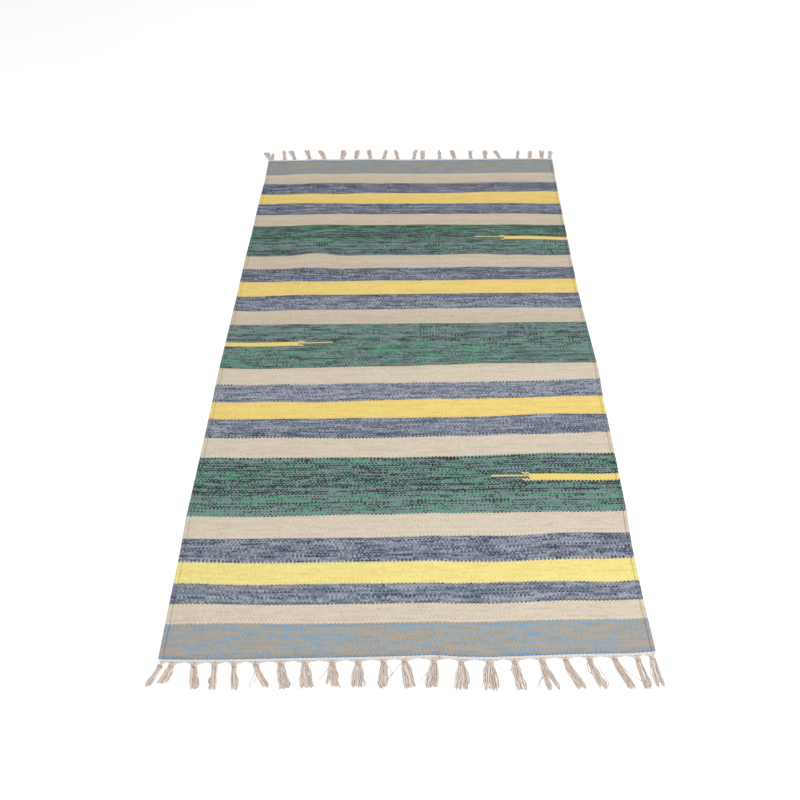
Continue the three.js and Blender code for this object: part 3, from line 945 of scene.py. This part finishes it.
# The second ply goes over the main one, and the darkest over both
second = add_node(tree, "ShaderNodeMix", {0: choices[1], 6: plies[0], 7: plies[1]}, data_type="RGBA")
marled = add_node(tree, "ShaderNodeMix", {0: choices[0], 6: second.outputs[2], 7: plies[2]}, data_type="RGBA")
print("choices between plies:", len(choices))

# %% Weave in the darts
coloured = marled.outputs[2]
dart_yarn = linear("#d5bc6e")
for dart in DARTS:
    line_low, line_high = dart["line"]
    sums = (
        ("inwards", "MULTIPLY_ADD", "across mm", -SIDEWAYS[dart["side"]], WIDTH / 2),
        ("inward share", "DIVIDE", "inwards", float(DART_SPAN)),
        ("above middle", "SUBTRACT", "pick", float(dart["pick"])),
        ("height share", "DIVIDE", "above middle", float(DART_PICKS)),
        ("depth share", "MULTIPLY", "height share", -1.0),
    )
    terms = add_sums(tree, sums, dict(known))
    profile = add_node(tree, "ShaderNodeValToRGB", {"Fac": terms["inward share"]})
    starts = [0.0] + [end / DART_SPAN for end in dart["ends"]]
    # The block is open between its prongs, and past the line's end no pick is covered
    parts = [(dart["bar"], 0), (dart["block"], 1), (dart["line"], 0), ((-1, -1), 0)]
    set_ramp(profile, [
        (start, (0.5 + below / DART_PICKS / 2, 0.5 + above / DART_PICKS / 2, is_open, 1))
        for start, ((below, above), is_open) in zip(starts, parts)
    ], "CONSTANT")
    reach = add_node(tree, "ShaderNodeSeparateColor", {0: profile.outputs["Color"]})
    terms.update(zip(("low reach", "high reach", "open"), reach.outputs))
    sums = (
        ("below share", "MULTIPLY_ADD", "low reach", 2.0, -1.0),
        ("above share", "MULTIPLY_ADD", "high reach", 2.0, -1.0),
        ("over low", "LESS_THAN", "depth share", "below share"),
        ("under high", "LESS_THAN", "height share", "above share"),
        ("yellow", "MULTIPLY", "over low", "under high"),
        ("over prong", "GREATER_THAN", "height share", (PRONG - dart["block"][0]) / DART_PICKS),
        ("under prong", "LESS_THAN", "height share", (dart["block"][1] - PRONG) / DART_PICKS),
        ("off line", "SUBTRACT", "height share", (line_high - line_low) / 2 / DART_PICKS),
        ("from line", "ABSOLUTE", "off line"),
        ("past line", "GREATER_THAN", "from line", (line_high + line_low) / 2 / DART_PICKS),
        ("between", "MULTIPLY", "over prong", "under prong"),
        ("gap", "MULTIPLY", "between", "past line"),
        ("open gap", "MULTIPLY", "gap", "open"),
        ("shown", "SUBTRACT", "yellow", "open gap"),
    )
    shown = add_sums(tree, sums, terms)["shown"]
    clamped = add_node(tree, "ShaderNodeClamp", {"Value": shown})
    coloured = add_node(
        tree, "ShaderNodeMix", {0: clamped.outputs[0], 6: coloured, 7: dart_yarn}, data_type="RGBA"
    ).outputs[2]
print("darts:", len(DARTS))

# %% [markdown]
# Between two floats the yarn dives under a warp, so the little gaps look darker. The shade is part of
# the colour, because the gaps are too fine for the render's own shadows, and the same float shape
# drives a small bump. The groove beside the corded edge is shaded the same way. Cotton is rough and
# has hardly any shine, with a faint sheen from its loose fibres.

# %% Shade and finish the weft yarn
# The shade of the lowest places, how much lighter a crown is, and how much darker the groove
LOW_SHADE = 0.9
CROWN_LIGHTER = 0.13
GROOVE_DARKER = 0.16
FLOAT_RELIEF = 0.5
shade_sums = (
    ("rounded", "MULTIPLY_ADD", "float height", CROWN_LIGHTER, LOW_SHADE),
    ("grooved", "MULTIPLY_ADD", "groove", -GROOVE_DARKER, "rounded"),
)
shade = add_sums(tree, shade_sums, known)["grooved"]
shaded = add_node(
    tree, "ShaderNodeMix", {0: 1.0, 6: coloured, 7: shade}, data_type="RGBA", blend_type="MULTIPLY"
)
bump = add_node(tree, "ShaderNodeBump", {
    "Height": known["float height"],
    "Strength": 0.5,
    "Distance": FLOAT_RELIEF * MM,
})
surface = add_node(tree, "ShaderNodeBsdfPrincipled", {
    "Base Color": shaded.outputs[2],
    "Normal": bump.outputs[0],
    "Roughness": 0.92,
    "Specular IOR Level": 0.25,
    "Sheen Weight": 0.12,
    "Sheen Roughness": 0.6,
})
tree.links.new(surface.outputs[0], output.inputs["Surface"])
for piece in [cloth, *edge_cords]:
    piece.data.materials.append(weft_yarn)
print("weft yarn nodes:", len(tree.nodes))

# %% [markdown]
# ## Twine and warp yarn
# The twine is bleached cotton and the fringe is the unbleached warp. Both are two-ply yarns, so one
# cell makes both: the plies wind round the yarn as a soft wave in the bump and as painted light and
# shade in the colour, each yarn of a tassel is a little lighter or darker than the next, and slubs of
# thick and thin run along it. Painted shade darkens the sides of the warp cords, where they lie
# between their neighbours.

# %% Yarn materials
PLY_TURN = 5.0
PLY_RELIEF = 0.4
# How fast the slubs come along a yarn, in places of the noise for each mm
SLUB_PACE = 0.09
# What a yarn's own tone, its slubs and its plies add to the mix of its two colours; the plies' part is
# painted light on their crowns and painted shade between them
OWN_TONE = 0.5
SLUB_TONE = 0.34
PLY_PAINTED_SHADING = 0.26
# How far up a side has to face to be free of the painted shade on the yarn's sides
FACING_UP = 0.7


def yarn_material(name, light, dark, painted_side_shade):
    """Two-ply cotton between a light and a dark colour; the last value is how much painted shade darkens its
    sides.
    """
    material, tree, output = new_material(name)
    value = add_node(tree, "ShaderNodeAttribute", attribute_name="yarn")
    split = add_node(tree, "ShaderNodeSeparateXYZ", {0: value.outputs["Vector"]})
    sums = (
        ("yarn share", "DIVIDE", "length", float(YARN_STEP)),
        ("number", "FLOOR", "yarn share"),
        ("round", "ARCTAN2", "sine", "cosine"),
        ("turns", "MULTIPLY", "length", 2 * math.pi / PLY_TURN),
        ("angle", "MULTIPLY_ADD", "round", 2.0, "turns"),
        ("wave", "COSINE", "angle"),
        ("ply", "MULTIPLY_ADD", "wave", 0.5, 0.5),
        ("slub place", "MULTIPLY", "length", SLUB_PACE),
    )
    known = add_sums(tree, sums, dict(zip(("length", "cosine", "sine"), split.outputs)))
    own = add_node(tree, "ShaderNodeTexWhiteNoise", {"W": known["number"]}, noise_dimensions="1D")
    slub_sockets = {"W": known["slub place"], "Scale": 1.0}
    slub = add_node(tree, "ShaderNodeTexNoise", slub_sockets, noise_dimensions="1D")
    tones = (
        ("own tone", "MULTIPLY", "own", OWN_TONE),
        ("slubbed", "MULTIPLY_ADD", "slub", SLUB_TONE, "own tone"),
        ("plied", "MULTIPLY_ADD", "ply", PLY_PAINTED_SHADING, "slubbed"),
        # Painted shade: the sides and the underside of a yarn are darkened
        ("upward", "SUBTRACT", "cosine", FACING_UP),
        ("tone", "MULTIPLY_ADD", "upward", painted_side_shade, "plied"),
    )
    known.update({"own": own.outputs["Value"], "slub": slub.outputs[0]})
    add_sums(tree, tones, known)
    mix = {0: known["tone"], 6: linear(dark), 7: linear(light)}
    colour = add_node(tree, "ShaderNodeMix", mix, data_type="RGBA")
    relief = {"Height": known["ply"], "Strength": 0.7, "Distance": PLY_RELIEF * MM}
    bump = add_node(tree, "ShaderNodeBump", relief)
    surface = add_node(tree, "ShaderNodeBsdfPrincipled", {
        "Base Color": colour.outputs[2],
        "Normal": bump.outputs[0],
        "Roughness": 0.9,
        "Specular IOR Level": 0.25,
        "Sheen Weight": 0.15,
        "Sheen Roughness": 0.6,
    })
    tree.links.new(surface.outputs[0], output.inputs["Surface"])
    print(name, "nodes:", len(tree.nodes))
    return material


# Bleached twine stays a cool white all round; unbleached warp is warmer and has painted shade on its sides,
# between the cords
bleached_twine = yarn_material("bleached_cotton_twine", "#d8d5d5", "#bab4b2", 0.0)
warp_cotton = yarn_material("unbleached_cotton_warp", "#e6dad0", "#998678", 0.27)
tail_yarns = {
    "blue": yarn_material("blue_cotton_yarn", "#7fb4cf", "#4f86a3", 0.1),
    "tan": yarn_material("tan_cotton_yarn", "#d3b287", "#a3845e", 0.1),
}
for colour, made in tails.items():
    made.data.materials.append(tail_yarns[colour])
for made in headings.values():
    made.data.materials.append(bleached_twine)
for made in tassels.values():
    made.data.materials.append(warp_cotton)

# %% [markdown]
# ## Fit the pieces to the solids
# Each dressed piece now takes the place of its solid.

for piece in [cloth, *edge_cords]:
    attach(piece, "root")
    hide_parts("cloth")
for end, made in headings.items():
    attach(made, "root")
    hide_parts("heading_" + end)
for node_name, made in tassels.items():
    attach(made, "root")
    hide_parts(node_name)
for made in tails.values():
    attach(made, "root")
    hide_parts("cloth")

# %% [markdown]
# ## Floor, light and camera
# The rug lies on a plain pale floor under soft studio light. A wide lamp stands to the right and in
# front, which leaves a faint shadow along the left side and makes the near end a little brighter.
# The camera is a slightly wide lens at chest height, just in front of the near end, looking down.

# %% Floor
FLOOR_SIZE = 12
# The floor lies a hair lower than the rug's underside, so that the two faces don't meet
FLOOR_DROP = 0.3
bpy.ops.object.select_all(action="DESELECT")
bpy.ops.mesh.primitive_plane_add(size=FLOOR_SIZE, location=(0, 0, -FLOOR_DROP * MM))
floor = bpy.context.active_object
floor.name = "pale_floor"
# Matt paint gives an even white with soft shadows and no gloss, and a roller leaves it faintly mottled
painted, tree, output = new_material("matt_white_paint")
place = add_node(tree, "ShaderNodeTexCoord").outputs["Object"]
mottle = add_node(tree, "ShaderNodeTexNoise", {"Vector": place, "Scale": 1.5, "Detail": 3.0}).outputs[0]
whites = {0: mottle, 6: linear("#fafafa"), 7: linear("#fefefe")}
paint = add_node(tree, "ShaderNodeMix", whites, data_type="RGBA")
coat = add_node(tree, "ShaderNodeBsdfPrincipled", {"Base Color": paint.outputs[2], "Roughness": 0.8})
tree.links.new(coat.outputs[0], output.inputs["Surface"])
floor.data.materials.append(painted)
print("floor in m:", FLOOR_SIZE)

# %% Light
LAMP_WIDTH = 2.2
LAMP_POWER = 52
LAMP_PLACE = (1.0, -1.3, 2.6)
LAMP_TURN = (26, 19, 0)
STUDIO_LIGHT = 0.88
lamp_data = bpy.data.lights.new("softbox", "AREA")
lamp_data.shape = "DISK"
lamp_data.size = LAMP_WIDTH
lamp_data.energy = LAMP_POWER
lamp = bpy.data.objects.new("softbox", lamp_data)
lamp.location = LAMP_PLACE
lamp.rotation_euler = [math.radians(turn) for turn in LAMP_TURN]
bpy.context.scene.collection.objects.link(lamp)
world = bpy.data.worlds.new("studio")
world.use_nodes = True
backdrop = next(node for node in world.node_tree.nodes if node.type == "BACKGROUND")
backdrop.inputs["Color"].default_value = linear("#ffffff")
backdrop.inputs["Strength"].default_value = STUDIO_LIGHT
bpy.context.scene.world = world
# Straight colours, as in a catalogue photo, so that the pale floor comes out white
bpy.context.scene.view_settings.view_transform = "Standard"
print("lamp in m from the rug's middle:", round(lamp.location.length, 2))

# %% Camera
LENS = 28.8
CAMERA_PLACE = (0.030, -1.0448, 1.2187)
CAMERA_TURN = (35.362, -0.279, -0.917)
SHIFT_ACROSS = -0.0391
camera_data = bpy.data.cameras.new("camera")
camera_data.lens = LENS
camera_data.sensor_width = 36
camera_data.shift_x = SHIFT_ACROSS
camera = bpy.data.objects.new("camera", camera_data)
camera.location = CAMERA_PLACE
camera.rotation_euler = [math.radians(turn) for turn in CAMERA_TURN]
bpy.context.scene.collection.objects.link(camera)
bpy.context.scene.camera = camera
print("camera height in m:", round(camera.location.z, 2), "lens in mm:", LENS)
